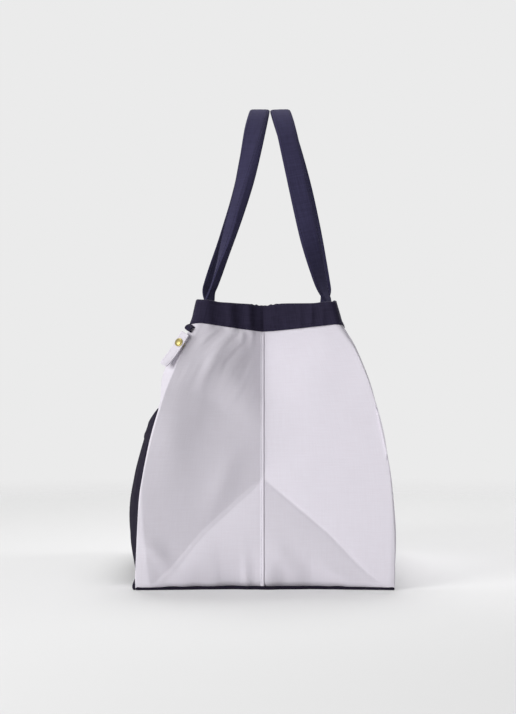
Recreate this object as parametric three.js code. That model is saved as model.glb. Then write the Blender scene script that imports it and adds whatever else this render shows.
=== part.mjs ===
// Open-topped canvas shopper bag, standing and filled out: two wrapped panels sewn to a base, a tape
// binding round the rim, two strap handles, a patch pocket and a snap tab on the front.
// Frame: X along the bag's length, -Y to the front with the pocket, +Z up, millimetres.
// The origin is on the floor under the middle of the base.

import * as THREE from 'three';

// Driving dimensions of the shell
const BASE_LENGTH = 446;
const BASE_THICKNESS = 3;
const FRONT_BASE_DEPTH = 147.5;
const BACK_BASE_DEPTH = 151.5;
const RIM_HEIGHT = 335;
const RIM_DIP = 8;
const FRONT_LEAN = 68.5;
const BACK_LEAN = 59;
const FRONT_ROUNDNESS = 2.45;
const BACK_ROUNDNESS = 2.75;
const RIM_LEAN = 3.5;
const END_LEAN = 2;
const FRONT_BULGE = 8;
const BACK_BULGE = 10;
const BASE_BULGE = 4;
const RIM_BULGE = 5;
const BULGE_LOW = 70;
const BULGE_HIGH = 180;
const BASE_CORNER = 8;
const RIM_CORNER = 9;
const CORNER_LOW = 150;
const CORNER_HIGH = 290;

// The front's corners are pushed out under the binding, where the snap tab sits
const FRONT_PUSH = 10;
const PUSH_FOOT = 216;
const PUSH_PEAK = 252;
const PUSH_HIGH = 262;
const PUSH_AT_BINDING = 0.25;
const PUSH_FADE = 90;

// Cloth
const CLOTH = 2;
const CLEARANCE = 0.3;

// Each end is tucked in along its seam above two folds, and slopes out below them to the base, where
// the seam still stands a little in from the corners
const GUSSET_TUCK = 28;
const SEAM_TUCK = 7;
const FOLD_HEIGHT = 126;

// Rim binding and side seams
const BINDING_HEIGHT = 30;
const BINDING_CLOTH = 1.6;
const SEAM_WIDTH = 7;
const SEAM_CLOTH = 1.6;
const SEAM_SEAT = 0.6;

// Handles
const STRAP_WIDTH = 25;
const STRAP_THICKNESS = 3;
const STRAP_TAIL = 45;
const HANDLE_SPREAD = 180;
const HANDLE_RISE = 243;
const TWIST_AT_RIM = THREE.MathUtils.degToRad(40);
const TWIST_AT_TOP = THREE.MathUtils.degToRad(90);

// Shares of a leg's climb where the strap's turning ends above the rim, starts again and is complete
const RIM_TWIST_END = 0.12;
const TOP_TWIST_START = 0.35;
const TOP_TWIST_END = 0.8;

// Front pocket
const POCKET_WIDTH = 352;
const POCKET_FOOT = 8;
const POCKET_CORNER_HEIGHT = 208;
const POCKET_SAG = 26;
const POCKET_FULLNESS = 9;
const POCKET_MOUTH = 7.5;
const POCKET_CLOTH = 2;

// Snap tab at the front corner of the right end
const KEEPER_WIDTH = 18;
const KEEPER_HEIGHT = 10;
const KEEPER_REACH = 9.5;
const TAB_WIDTH = 16;
const TAB_LENGTH = 44;
const TAB_CLOTH = 2.4;
const TAB_FLARE = 5;
const SNAP_DROP = 13;
const SNAP_CAP_RADIUS = 6.2;
const SNAP_CAP_HEIGHT = 2.4;
const SNAP_FLANGE_RADIUS = 5.5;
const SNAP_FLANGE = 0.8;
const SNAP_SOCKET_HEIGHT = 2.8;
const SNAP_KNOB_RADIUS = 2.4;
const SNAP_KNOB_HEIGHT = 2.2;
const SNAP_PLAY = 0.7;

// Facets
const END_STEPS = 6;
const CORNER_STEPS = 4;
const FACE_STEPS = 6;
const UPPER_STEPS = 6;
const STRAP_STEPS = 44;
const POCKET_COLUMNS = 14;
const POCKET_ROWS = 8;
const ROUND_STEPS = 20;

const { lerp, smoothstep, clamp } = THREE.MathUtils;
const SHELL_FOOT = BASE_THICKNESS + CLEARANCE;

// The two walls: which way each faces, how it leans in and swells, and how far its corners are pushed out
const FRONT = {
  facing: -1,
  depth: FRONT_BASE_DEPTH,
  lean: FRONT_LEAN,
  roundness: FRONT_ROUNDNESS,
  bulge: FRONT_BULGE,
  push: FRONT_PUSH,
};
const BACK = {
  facing: 1,
  depth: BACK_BASE_DEPTH,
  lean: BACK_LEAN,
  roundness: BACK_ROUNDNESS,
  bulge: BACK_BULGE,
  push: 0,
};

// Depth of a wall at its corners, from the centre plane: it rounds over up to the binding, which
// stands nearly upright
function cornerDepth(wall, z) {
  const foot = RIM_HEIGHT - BINDING_HEIGHT;
  const rounding = clamp(z / foot, 0, 1) ** wall.roundness;
  const upBinding = clamp((z - foot) / BINDING_HEIGHT, 0, 1);
  return wall.depth - wall.lean * rounding - RIM_LEAN * upBinding;
}

// Half length of the bag at its corners
function cornerLength(z) {
  return BASE_LENGTH / 2 + (END_LEAN * z) / RIM_HEIGHT;
}

// How far back from the sharp corner its rounding starts
function cornerSetback(z) {
  return lerp(BASE_CORNER, RIM_CORNER, smoothstep(z, CORNER_LOW, CORNER_HIGH));
}

// How far a wall's corners are pushed out at a height
function cornerPush(wall, z) {
  const high = smoothstep(z, PUSH_HIGH, RIM_HEIGHT - BINDING_HEIGHT);
  return wall.push * smoothstep(z, PUSH_FOOT, PUSH_PEAK) * lerp(1, PUSH_AT_BINDING, high);
}

// Where a wall's face starts, past the corner
function faceStartLength(wall, z) {
  return cornerLength(z) - cornerSetback(z) - cornerPush(wall, z);
}

// Depth of a wall's face at a distance x from the middle: it swells most between two heights
function faceDepth(wall, x, z) {
  const lowSwell = lerp(BASE_BULGE, wall.bulge, smoothstep(z, 0, BULGE_LOW));
  const swell = lerp(lowSwell, RIM_BULGE, smoothstep(z, BULGE_HIGH, RIM_HEIGHT));
  const reach = x / cornerLength(z);
  const start = faceStartLength(wall, z);
  const push = cornerPush(wall, z) * smoothstep(x, start - PUSH_FADE, start);
  return cornerDepth(wall, z) + swell * (1 - reach * reach) + push;
}

// How far up the folds a height lies: 0 at the base, 1 where the two folds meet on the seam
function foldRise(z) {
  return clamp((z - SHELL_FOOT) / (FOLD_HEIGHT - SHELL_FOOT), 0, 1);
}

// Reach of an end along X at a share of the wall's depth: a fold runs from the seam to the base corner,
// with a triangle under it that slopes out
function endLength(wall, share, z) {
  const rise = foldRise(z);
  const flatShare = 1 - cornerSetback(z) / cornerDepth(wall, z);
  const foldShare = flatShare * (1 - rise);
  const pastFold = Math.max(share - foldShare, 0) / (1 - foldShare);
  const tuck = GUSSET_TUCK * rise * (1 - pastFold);
  return cornerLength(z) - tuck - SEAM_TUCK * Math.max(1 - rise - share / flatShare, 0);
}

// A wall's outline at a height, over half its length. The station runs from 0 at the side seam to 1
// at the start of the corner, 2 at its end and 3 at the middle of the face.
function outline(wall, station, z) {
  const depth = cornerDepth(wall, z);
  const setback = cornerSetback(z);
  const flatShare = 1 - setback / depth;
  const faceStart = faceStartLength(wall, z);
  if (station <= 1) {
    const share = station * flatShare;
    return new THREE.Vector2(endLength(wall, share, z), share * depth);
  }
  if (station <= 2) {
    const corner = new THREE.QuadraticBezierCurve(
      new THREE.Vector2(endLength(wall, flatShare, z), flatShare * depth),
      new THREE.Vector2(endLength(wall, 1, z), depth),
      new THREE.Vector2(faceStart, faceDepth(wall, faceStart, z)),
    );
    return corner.getPoint(station - 1);
  }
  const x = lerp(faceStart, 0, station - 2);
  return new THREE.Vector2(x, faceDepth(wall, x, z));
}

// Radius of a corner at the middle of its rounding
function cornerRadius(wall, z) {
  const start = outline(wall, 1, z);
  const end = outline(wall, 2, z);
  const halfChord = start.distanceTo(end) / 2;
  const rise = outline(wall, 1.5, z).distanceTo(start.lerp(end, 0.5));
  return halfChord ** 2 / (2 * rise);
}

// The level direction out of the wall: straight along X at the seam, where the two panels are mitred
function outlineNormal(wall, station, z) {
  if (station === 0) {
    return new THREE.Vector2(1, 0);
  }
  const step = 0.01;
  const before = outline(wall, Math.max(station - step, 0), z);
  const after = outline(wall, Math.min(station + step, 3), z);
  return new THREE.Vector2(after.y - before.y, before.x - after.x).normalize();
}

// A point of a wall at a station of one end (+1 or -1), moved out of the wall by an offset
function wallPoint(wall, place, z, offset) {
  const point = outline(wall, place.station, z);
  point.addScaledVector(outlineNormal(wall, place.station, z), offset);
  const y = place.station === 0 ? CLEARANCE / 2 : point.y;
  return new THREE.Vector3(point.x * place.end, y * wall.facing, z);
}

// The station of a point of the face at a distance x from the middle
function facePlace(wall, x, z) {
  const faceStart = faceStartLength(wall, z);
  return { station: 3 - Math.abs(x) / faceStart, end: x < 0 ? -1 : 1 };
}

function rimHeight(place) {
  return RIM_HEIGHT - RIM_DIP * (1 - Math.min(place.station, 1)) ** 1.5;
}

function bindingFoot(place) {
  return rimHeight(place) - BINDING_HEIGHT;
}

// Columns of a wall from the right-hand seam round the face to the left-hand seam
function wallColumns() {
  const steps = [END_STEPS, CORNER_STEPS, FACE_STEPS];
  const half = [0];
  steps.forEach((count, zone) => {
    for (let i = 1; i <= count; i += 1) {
      half.push(zone + i / count);
    }
  });
  const right = half.map((station) => ({ station, end: 1 }));
  const left = half.slice(0, -1).reverse().map((station) => ({ station, end: -1 }));
  return [...right, ...left];
}

// Heights of the rows below the binding, denser over the folds so that these lie on the facets
function shellHeights(place) {
  const heights = [];
  for (let i = 0; i <= END_STEPS; i += 1) {
    heights.push(lerp(SHELL_FOOT, FOLD_HEIGHT, i / END_STEPS));
  }
  for (let i = 1; i <= UPPER_STEPS; i += 1) {
    heights.push(lerp(FOLD_HEIGHT, bindingFoot(place), i / UPPER_STEPS));
  }
  return heights;
}

// A closed solid from points and triangles, its faces turned outwards
function solid(points, triangles) {
  let volume = 0;
  for (let i = 0; i < triangles.length; i += 3) {
    const [a, b, c] = triangles.slice(i, i + 3).map((index) => points[index]);
    volume += a.dot(new THREE.Vector3().crossVectors(b, c));
  }
  const geometry = new THREE.BufferGeometry().setFromPoints(points);
  geometry.setIndex(volume < 0 ? [...triangles].reverse() : triangles);
  geometry.computeVertexNormals();
  return geometry;
}

// A sheet with thickness: two grids of points, row by row, joined round their edges
function slab(outer, inner) {
  const rows = outer.length;
  const columns = outer[0].length;
  const layer = rows * columns;
  const triangles = [];
  const quad = (a, b, c, d) => triangles.push(a, b, c, a, c, d);
  for (let row = 0; row < rows - 1; row += 1) {
    for (let column = 0; column < columns - 1; column += 1) {
      const a = row * columns + column;
      const corners = [a, a + 1, a + 1 + columns, a + columns];
      if (column < (columns - 1) / 2) {
        corners.push(corners.shift());
      }
      const [p, q, r, s] = corners;
      quad(p, q, r, s);
      quad(p + layer, s + layer, r + layer, q + layer);
    }
  }
  const edge = [];
  for (let column = 0; column < columns - 1; column += 1) edge.push(column);
  for (let row = 0; row < rows - 1; row += 1) edge.push(row * columns + columns - 1);
  for (let column = columns - 1; column > 0; column -= 1) edge.push((rows - 1) * columns + column);
  for (let row = rows - 1; row > 0; row -= 1) edge.push(row * columns);
  edge.forEach((from, index) => {
    const to = edge[(index + 1) % edge.length];
    quad(to, from, from + layer, to + layer);
  });
  return solid([...outer.flat(), ...inner.flat()], triangles);
}

// A panel: half of the shell, open at the top, ending inside the binding's fold
function panel(wall) {
  const columns = wallColumns();
  const face = (offset) => {
    const grid = columns.map((place) => {
      const top = rimHeight(place) - BINDING_CLOTH - CLEARANCE;
      return [...shellHeights(place), top].map((z) => wallPoint(wall, place, z, offset));
    });
    return grid[0].map((_, row) => grid.map((column) => column[row]));
  };
  return slab(face(0), face(-CLOTH));
}

// The base: a flat piece whose outline is that of the two panels' feet
function base() {
  const columns = wallColumns();
  const foot = (wall, places) => places.map((place) => wallPoint(wall, place, SHELL_FOOT, 0));
  const edge = [...foot(FRONT, columns), ...foot(BACK, columns.slice(1, -1).reverse())];
  const shape = new THREE.Shape(edge.map((point) => new THREE.Vector2(point.x, point.y)));
  return new THREE.ExtrudeGeometry(shape, { depth: BASE_THICKNESS, bevelEnabled: false });
}

// Binding tape folded over the rim of one panel
function binding(wall) {
  const columns = wallColumns();
  const outside = CLEARANCE;
  const inside = -CLOTH - 2 * CLEARANCE;
  const fold = (spread) =>
    [
      [outside + spread, false],
      [outside + spread, true],
      [inside - spread, true],
      [inside - spread, false],
    ].map(([offset, atTop]) =>
      columns.map((place) => {
        const top = rimHeight(place) - BINDING_CLOTH + spread;
        return wallPoint(wall, place, atTop ? top : bindingFoot(place), offset);
      }),
    );
  return slab(fold(BINDING_CLOTH), fold(0));
}

// The felled ridge that covers the joint of the two panels up the middle of an end
function sideSeam(end) {
  const flatDepth = (wall, z) => cornerDepth(wall, z) - cornerSetback(z);
  const foldCrossing = 1 - SEAM_WIDTH / 2 / flatDepth(FRONT, FOLD_HEIGHT);
  const heights = shellHeights({ station: 0, end });
  heights[heights.length - 1] -= CLEARANCE;
  heights.push(lerp(SHELL_FOOT, FOLD_HEIGHT, foldCrossing));
  heights.sort((a, b) => a - b);
  const besideSeam = (wall, z, offset) =>
    wallPoint(wall, { station: SEAM_WIDTH / 2 / flatDepth(wall, z), end }, z, offset);
  const skin = (offset) =>
    heights.map((z) => [
      besideSeam(FRONT, z, offset),
      new THREE.Vector3(end * (endLength(FRONT, 0, z) + offset), 0, z),
      besideSeam(BACK, z, offset),
    ]);
  return slab(skin(SEAM_SEAT + SEAM_CLOTH), skin(SEAM_SEAT));
}

// Where a handle turns on the rim: over the middle of the binding's fold
function handlePivot(wall) {
  const place = facePlace(wall, HANDLE_SPREAD / 2, RIM_HEIGHT);
  const pivot = wallPoint(wall, place, RIM_HEIGHT, -CLOTH / 2);
  pivot.z = RIM_HEIGHT + CLEARANCE + STRAP_THICKNESS / 2;
  return pivot;
}

// The middle line of a handle: two legs that lean in over the mouth and an arch, at the top of which
// the two handles lie side by side
function handleRoute(wall) {
  const pivot = handlePivot(wall);
  const meeting = (handlePivot(FRONT).y + handlePivot(BACK).y) / 2;
  const topDepth = meeting + wall.facing * (STRAP_WIDTH / 2 + CLEARANCE);
  const points = [];
  for (let i = 0; i <= STRAP_STEPS; i += 1) {
    const turn = (Math.PI * i) / STRAP_STEPS;
    const rise = clamp(Math.sin(turn), 0, 1) ** 1.3;
    const x = Math.sign(Math.cos(turn)) * Math.sqrt(1 - rise ** 3) * (HANDLE_SPREAD / 2);
    const y = lerp(pivot.y, topDepth, rise ** 0.7);
    points.push(new THREE.Vector3(x, y, pivot.z + HANDLE_RISE * rise));
  }
  return new THREE.CatmullRomCurve3(points);
}

// A handle: a flat strap that lies along the rim at its two ends, turns part of the way just above
// it, and turns level across the top of the loop
function handle(wall) {
  const route = handleRoute(wall);
  const faces = [[], []];
  for (let i = 0; i <= STRAP_STEPS; i += 1) {
    const along = i / STRAP_STEPS;
    const climb = 1 - Math.abs(2 * along - 1);
    const rimTwist = TWIST_AT_RIM * smoothstep(climb, 0, RIM_TWIST_END);
    const topTurn = smoothstep(climb, TOP_TWIST_START, TOP_TWIST_END);
    const twist = lerp(rimTwist, TWIST_AT_TOP, topTurn);
    const middle = route.getPointAt(along);
    const tangent = route.getTangentAt(along);
    const outOfBag = new THREE.Vector3(0, wall.facing, 0).projectOnPlane(tangent).normalize();
    const outOfLoop = new THREE.Vector3().crossVectors(outOfBag, tangent).multiplyScalar(wall.facing);
    const normal = outOfBag.multiplyScalar(Math.cos(twist)).addScaledVector(outOfLoop, Math.sin(twist));
    const across = new THREE.Vector3().crossVectors(tangent, normal);
    [0.5, -0.5].forEach((layer, index) => {
      const row = [-0.5, 0, 0.5].map((share) =>
        middle
          .clone()
          .addScaledVector(normal, layer * STRAP_THICKNESS)
          .addScaledVector(across, share * STRAP_WIDTH),
      );
      faces[index].push(row);
    });
  }
  return slab(faces[0], faces[1]);
}

// A strap's end, sewn flat inside the rim under one leg of a handle
function handleEnd(wall, end) {
  const against = -CLOTH - BINDING_CLOTH - 3 * CLEARANCE;
  const heights = [RIM_HEIGHT - STRAP_TAIL, RIM_HEIGHT - BINDING_HEIGHT, RIM_HEIGHT];
  const skin = (offset) =>
    heights.map((z) =>
      [-0.5, 0, 0.5].map((share) => {
        const x = end * (HANDLE_SPREAD / 2 + share * STRAP_WIDTH);
        return wallPoint(wall, facePlace(wall, x, z), z, offset);
      }),
    );
  return slab(skin(against), skin(against - STRAP_THICKNESS));
}

// The patch pocket: held to the panel along its sides and foot, swelling between, with a sagging mouth
function pocket() {
  const skin = (thickness) => {
    const rows = [];
    for (let row = 0; row <= POCKET_ROWS; row += 1) {
      const points = [];
      for (let column = 0; column <= POCKET_COLUMNS; column += 1) {
        const across = 1 - (2 * column) / POCKET_COLUMNS;
        const up = row / POCKET_ROWS;
        const mouth = POCKET_CORNER_HEIGHT - POCKET_SAG * (1 - across * across);
        const z = lerp(POCKET_FOOT, mouth, up);
        const swell = POCKET_FULLNESS * Math.sin(Math.PI * up ** 0.8) + POCKET_MOUTH * up * up;
        const offset = CLEARANCE + swell * (1 - across ** 4) + thickness;
        points.push(wallPoint(FRONT, facePlace(FRONT, (across * POCKET_WIDTH) / 2, z), z, offset));
      }
      rows.push(points);
    }
    return rows;
  };
  return slab(skin(POCKET_CLOTH), skin(0));
}

// The frame of the snap tab on the pushed-out front corner: X along the wall, Y up it, Z out of it,
// from the binding's foot
function tabFrame() {
  const place = { station: 1.5, end: 1 };
  const top = bindingFoot(place);
  const drop = KEEPER_HEIGHT + SNAP_DROP;
  const origin = wallPoint(FRONT, place, top, 0);
  const lower = wallPoint(FRONT, place, top - drop, 0);
  const up = origin.clone().sub(lower).normalize();
  const level = outlineNormal(FRONT, place.station, top);
  const out = new THREE.Vector3(level.x * place.end, level.y * FRONT.facing, 0);
  out.projectOnPlane(up).normalize();
  const along = new THREE.Vector3().crossVectors(up, out);
  const frame = new THREE.Group();
  frame.position.copy(origin);
  frame.quaternion.setFromRotationMatrix(new THREE.Matrix4().makeBasis(along, up, out));
  return frame;
}

// Heights above the panel through the closed snap, and the line that the tab turns on
const STUD_FOOT = CLEARANCE;
const STUD_FACE = STUD_FOOT + SNAP_FLANGE;
const SOCKET_FOOT = STUD_FACE + CLEARANCE;
const SOCKET_TOP = SOCKET_FOOT + SNAP_SOCKET_HEIGHT;
const TAB_OUT = SOCKET_TOP + CLEARANCE + TAB_CLOTH / 2;
const TAB_TOP = -KEEPER_HEIGHT - CLEARANCE - TAB_CLOTH / 2;
const SNAP_LEVEL = TAB_TOP - SNAP_DROP;

// A folded loop of tape that sticks out from under the binding
function keeper() {
  const top = -BINDING_CLOTH - 2 * CLEARANCE;
  const shape = new THREE.Shape();
  shape.moveTo(CLEARANCE, top);
  shape.quadraticCurveTo(KEEPER_REACH, top, KEEPER_REACH, -KEEPER_HEIGHT * 0.6);
  shape.quadraticCurveTo(KEEPER_REACH, -KEEPER_HEIGHT, TAB_OUT, -KEEPER_HEIGHT);
  shape.lineTo(CLEARANCE, -KEEPER_HEIGHT);
  const geometry = new THREE.ExtrudeGeometry(shape, {
    depth: KEEPER_WIDTH,
    bevelEnabled: false,
    curveSegments: 5,
  });
  geometry.translate(0, 0, -KEEPER_WIDTH / 2);
  const out = new THREE.Vector3(0, 0, 1);
  const up = new THREE.Vector3(0, 1, 0);
  const along = new THREE.Vector3(-1, 0, 0);
  return geometry.applyMatrix4(new THREE.Matrix4().makeBasis(out, up, along));
}

// The tab: flat under the snap, flaring away from the panel at its free end
function tab() {
  const flareStart = SNAP_DROP + SNAP_FLANGE_RADIUS;
  const drops = [0, SNAP_DROP, flareStart];
  for (let i = 1; i <= 4; i += 1) {
    drops.push(lerp(flareStart, TAB_LENGTH, i / 4));
  }
  const skin = (side) =>
    drops.map((drop) => {
      const flare = TAB_FLARE * clamp((drop - flareStart) / (TAB_LENGTH - flareStart), 0, 1) ** 2;
      const out = TAB_OUT + flare + (side * TAB_CLOTH) / 2;
      return [-0.5, 0, 0.5].map((share) => new THREE.Vector3(share * TAB_WIDTH, TAB_TOP - drop, out));
    });
  return slab(skin(1), skin(-1));
}

// A turned snap part on the snap's axis, from a profile of [radius, height above the panel]
function turned(profile) {
  const points = profile.map(([radius, height]) => new THREE.Vector2(radius, height));
  const geometry = new THREE.LatheGeometry(points, ROUND_STEPS);
  geometry.rotateX(Math.PI / 2);
  geometry.translate(0, SNAP_LEVEL, 0);
  return geometry;
}

function snapCap() {
  const foot = TAB_OUT + TAB_CLOTH / 2 + CLEARANCE;
  const profile = [[0, foot]];
  for (let i = 0; i <= 4; i += 1) {
    const turn = (Math.PI / 2) * (i / 4);
    const radius = i === 4 ? 0 : SNAP_CAP_RADIUS * Math.cos(turn);
    profile.push([radius, foot + SNAP_CAP_HEIGHT * (0.3 + 0.7 * Math.sin(turn))]);
  }
  profile.splice(1, 0, [SNAP_CAP_RADIUS, foot]);
  return turned(profile);
}

function snapSocket() {
  const bore = SNAP_KNOB_RADIUS + SNAP_PLAY;
  return turned([
    [bore, SOCKET_FOOT],
    [SNAP_FLANGE_RADIUS, SOCKET_FOOT],
    [SNAP_FLANGE_RADIUS, SOCKET_TOP],
    [bore, SOCKET_TOP],
    [bore, SOCKET_FOOT],
  ]);
}

function snapStud() {
  const tip = STUD_FACE + SNAP_KNOB_HEIGHT;
  return turned([
    [0, STUD_FOOT],
    [SNAP_FLANGE_RADIUS, STUD_FOOT],
    [SNAP_FLANGE_RADIUS, STUD_FACE],
    [SNAP_KNOB_RADIUS, STUD_FACE],
    [SNAP_KNOB_RADIUS, tip - SNAP_KNOB_RADIUS / 3],
    [SNAP_KNOB_RADIUS * 0.6, tip],
    [0, tip],
  ]);
}

// The washer behind the stud, inside the bag: flat against the hollow of the rounded corner
function snapBacking() {
  const snapHeight = RIM_HEIGHT - BINDING_HEIGHT + SNAP_LEVEL;
  const hollow = SNAP_FLANGE_RADIUS ** 2 / (cornerRadius(FRONT, snapHeight) - CLOTH);
  const top = -CLOTH - CLEARANCE - hollow;
  return turned([
    [0, top - SNAP_FLANGE],
    [SNAP_FLANGE_RADIUS, top - SNAP_FLANGE],
    [SNAP_FLANGE_RADIUS, top],
    [0, top],
  ]);
}

const pale = () => new THREE.MeshStandardMaterial({ color: 0xdcd8e4, roughness: 0.9, metalness: 0 });
const navy = () => new THREE.MeshStandardMaterial({ color: 0x2c2940, roughness: 0.85, metalness: 0 });
const brass = () => new THREE.MeshStandardMaterial({ color: 0xd9b54a, roughness: 0.25, metalness: 1 });

function piece(name, geometry, material) {
  const mesh = new THREE.Mesh(geometry, material);
  mesh.name = name;
  return mesh;
}

const bag = new THREE.Group();
bag.name = 'shopper_bag';
bag.add(piece('base_panel', base(), navy()));
bag.add(piece('front_panel', panel(FRONT), pale()));
bag.add(piece('back_panel', panel(BACK), pale()));
bag.add(piece('front_binding', binding(FRONT), navy()));
bag.add(piece('back_binding', binding(BACK), navy()));
bag.add(piece('right_side_seam', sideSeam(1), pale()));
bag.add(piece('left_side_seam', sideSeam(-1), pale()));
bag.add(piece('front_pocket', pocket(), navy()));

const walls = { front: FRONT, back: BACK };
for (const [side, wall] of Object.entries(walls)) {
  bag.add(piece(`${side}_handle`, handle(wall), navy()));
  bag.add(piece(`${side}_handle_right_end`, handleEnd(wall, 1), navy()));
  bag.add(piece(`${side}_handle_left_end`, handleEnd(wall, -1), navy()));
}

const snap = tabFrame();
snap.add(piece('tab_keeper', keeper(), navy()));
snap.add(piece('snap_tab', tab(), pale()));
snap.add(piece('snap_cap', snapCap(), brass()));
snap.add(piece('snap_socket', snapSocket(), brass()));
snap.add(piece('snap_stud', snapStud(), brass()));
snap.add(piece('snap_backing', snapBacking(), brass()));
bag.add(snap);

export default bag;
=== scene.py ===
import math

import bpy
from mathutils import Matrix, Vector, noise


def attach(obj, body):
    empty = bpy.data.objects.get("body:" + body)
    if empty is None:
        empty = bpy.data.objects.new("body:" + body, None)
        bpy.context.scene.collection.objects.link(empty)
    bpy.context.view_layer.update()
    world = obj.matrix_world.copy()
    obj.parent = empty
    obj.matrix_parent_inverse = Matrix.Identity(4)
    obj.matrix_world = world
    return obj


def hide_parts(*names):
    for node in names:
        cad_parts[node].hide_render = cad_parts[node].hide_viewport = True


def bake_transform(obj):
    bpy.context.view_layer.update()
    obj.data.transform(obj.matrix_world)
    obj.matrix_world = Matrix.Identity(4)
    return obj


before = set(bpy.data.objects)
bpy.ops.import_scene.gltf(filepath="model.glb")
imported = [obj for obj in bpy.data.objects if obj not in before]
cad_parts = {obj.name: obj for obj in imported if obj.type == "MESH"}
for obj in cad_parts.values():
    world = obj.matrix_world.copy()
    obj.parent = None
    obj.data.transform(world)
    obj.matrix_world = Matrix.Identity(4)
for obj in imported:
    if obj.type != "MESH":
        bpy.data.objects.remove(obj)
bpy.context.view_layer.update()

# Open-topped canvas shopper bag: two pale canvas panels wrapped round a navy base, a navy tape over
# the rim, two navy straps, a navy patch pocket and a pale tab with a brass snap.
# Metres, X along the bag's length, -Y to the front with the pocket, +Z up, origin under the base.

# Shell
BASE_LENGTH = 0.446
BASE_THICKNESS = 0.003
RIM_HEIGHT = 0.335
END_LEAN = 0.002
BASE_BULGE = 0.004
RIM_BULGE = 0.009
BULGE_LOW = 0.070
BULGE_HIGH = 0.180
BASE_CORNER = 0.0015
RIM_CORNER = 0.009
CORNER_LOW = 0.270
CORNER_HIGH = 0.305
PUSH_FOOT = 0.208
PUSH_PEAK = 0.252
PUSH_HIGH = 0.262
PUSH_AT_BINDING = 0.25
PUSH_FADE = 0.090
LEAN_HEIGHT = 0.305
CLOTH = 0.0016
CLEARANCE = 0.0003
GUSSET_TUCK = 0.040
RIM_TUCK = 0.018
SEAM_TUCK = 0.004
RAMP_SWELL = 0.003
FOOT_ROLL = 0.015
FOOT_HEIGHT = 0.070
FOOT_SPREAD = 1.6
CREASE_WIDTH = 0.0008
BASE_BEYOND = 0.009
FOLD_HEIGHT = 0.126
VALLEY_RISE = 0.035
TUCK_EASE = 0.26
SHELL_FOOT = BASE_THICKNESS + CLEARANCE

# Rim tape and side seams
BINDING_HEIGHT = 0.0305
BINDING_CLOTH = 0.0010
BINDING_OUT = 0.0016
BINDING_IN = -0.0036
TAPE_SEAM_FOOT = 0.2974
TAPE_TURN = 0.12
SEAM_CLOTH = 0.0007
TAPE_MARGIN = 0.0028

# Straps
STRAP_WIDTH = 0.025
STRAP_THICKNESS = 0.0028
STRAP_TAIL = 0.045
TAIL_DEPTH = 0.0058
TAIL_SEWN = 0.316
HANDLE_SPREAD = 0.180
HANDLE_RISE = 0.243
STRAP_OFFSET = 0.0046
STRAP_WAVE = 0.0007
STRAP_CUP = 0.0010
STRAP_MARGIN = 0.0032

# Pocket
POCKET_WIDTH = 0.352
POCKET_FOOT = 0.008
POCKET_CORNER_HEIGHT = 0.208
POCKET_SAG = 0.026
POCKET_FULLNESS = 0.009
POCKET_MOUTH = 0.0040
POCKET_CLOTH = 0.0014
POCKET_HEM = 0.018
POCKET_MARGIN = 0.003
POCKET_SLACK = 0.0022
POCKET_FINE_SLACK = 0.0010
HEM_STEP = 0.0008

# Snap tab
KEEPER_RISE = 0.305
KEEPER_LEFT = -0.0075
KEEPER_RIGHT = 0.0015
KEEPER_HEIGHT = 0.010
KEEPER_CLOTH = 0.0016
TAB_WIDTH = 0.0118
TAB_CENTRE = -0.0022
TAB_HANG = 0.0030
TAB_LENGTH = 0.044
TAB_CLOTH = 0.0024
TAB_FLARE = 0.005
SNAP_DROP = 0.013
SNAP_CAP_RADIUS = 0.0050
SNAP_CAP_HEIGHT = 0.0024
SNAP_FLANGE_RADIUS = 0.0042
SNAP_FLANGE = 0.0008
SNAP_SOCKET_HEIGHT = 0.0028
SNAP_KNOB_RADIUS = 0.0024
SNAP_KNOB_HEIGHT = 0.0022
SNAP_PLAY = 0.0007

# Sewing
STITCH_PITCH = 0.0040
STITCH_LENGTH = 0.0030
STITCH_RADIUS = 0.00032

# Stations of a wall run from 0 at the side seam to 1 and 2 round a corner and 3 at mid-face: those over
# which the rim climbs to its corner, and then to its level height
CORNER_CLIMB = (0.74, 1.0)
LEVELLING = (1.3, 2.8)

# The two walls: which way each faces, how it leans in and swells, how far its corners are pushed out
# under the rim tape, how soft its gusset fold is, how high its crease stands, how far towards the corner
# that fold runs, and how round its tuck is beside the seam. Then its rim along an end (height, slope, dip
# at the seam and rise at the corner), how far the rim tape leans in and from where, its foot at the corner
# and its narrow ribs as (distance from the seam, height). Last its strap: how far inside the rim it
# stands, how it bows on its way up, how far its near leg stands in and its far leg out above the rim,
# where the far leg's standing out fades, and how each leg turns, as (share of the climb, degrees)
FRONT = {
    "facing": -1, "depth": 0.1475, "lean": 0.0685, "roundness": 2.45, "bulge": 0.008, "push": 0.010,
    "fold": 0.0010, "crease": 0.0006, "fold_reach": 0.88, "valley": 0.0,
    "rim": 0.3322, "slope": 0.0035, "dip": 0.0010, "dip_width": 0.14, "corner_rise": 0.0017,
    "rim_lean": 0.0060, "lean_start": 0.305, "tape_foot": 0.3068, "ribs": [],
    "strap_in": 0.0084, "strap_bow": 0.85, "near_in": 0.0, "far_out": 0.0085, "far_fade": (0.08, 0.56),
    "near_twists": [
        (0.0, 4), (0.10, 3), (0.16, 6), (0.19, 12), (0.225, 20), (0.27, 27), (0.32, 30), (0.42, 33),
        (0.51, 45), (0.60, 60), (0.74, 90),
    ],
    "far_twists": [(0.0, 20), (0.09, 45), (0.14, 51), (0.26, 52), (0.34, 58), (0.45, 67), (0.62, 90)],
}
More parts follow.
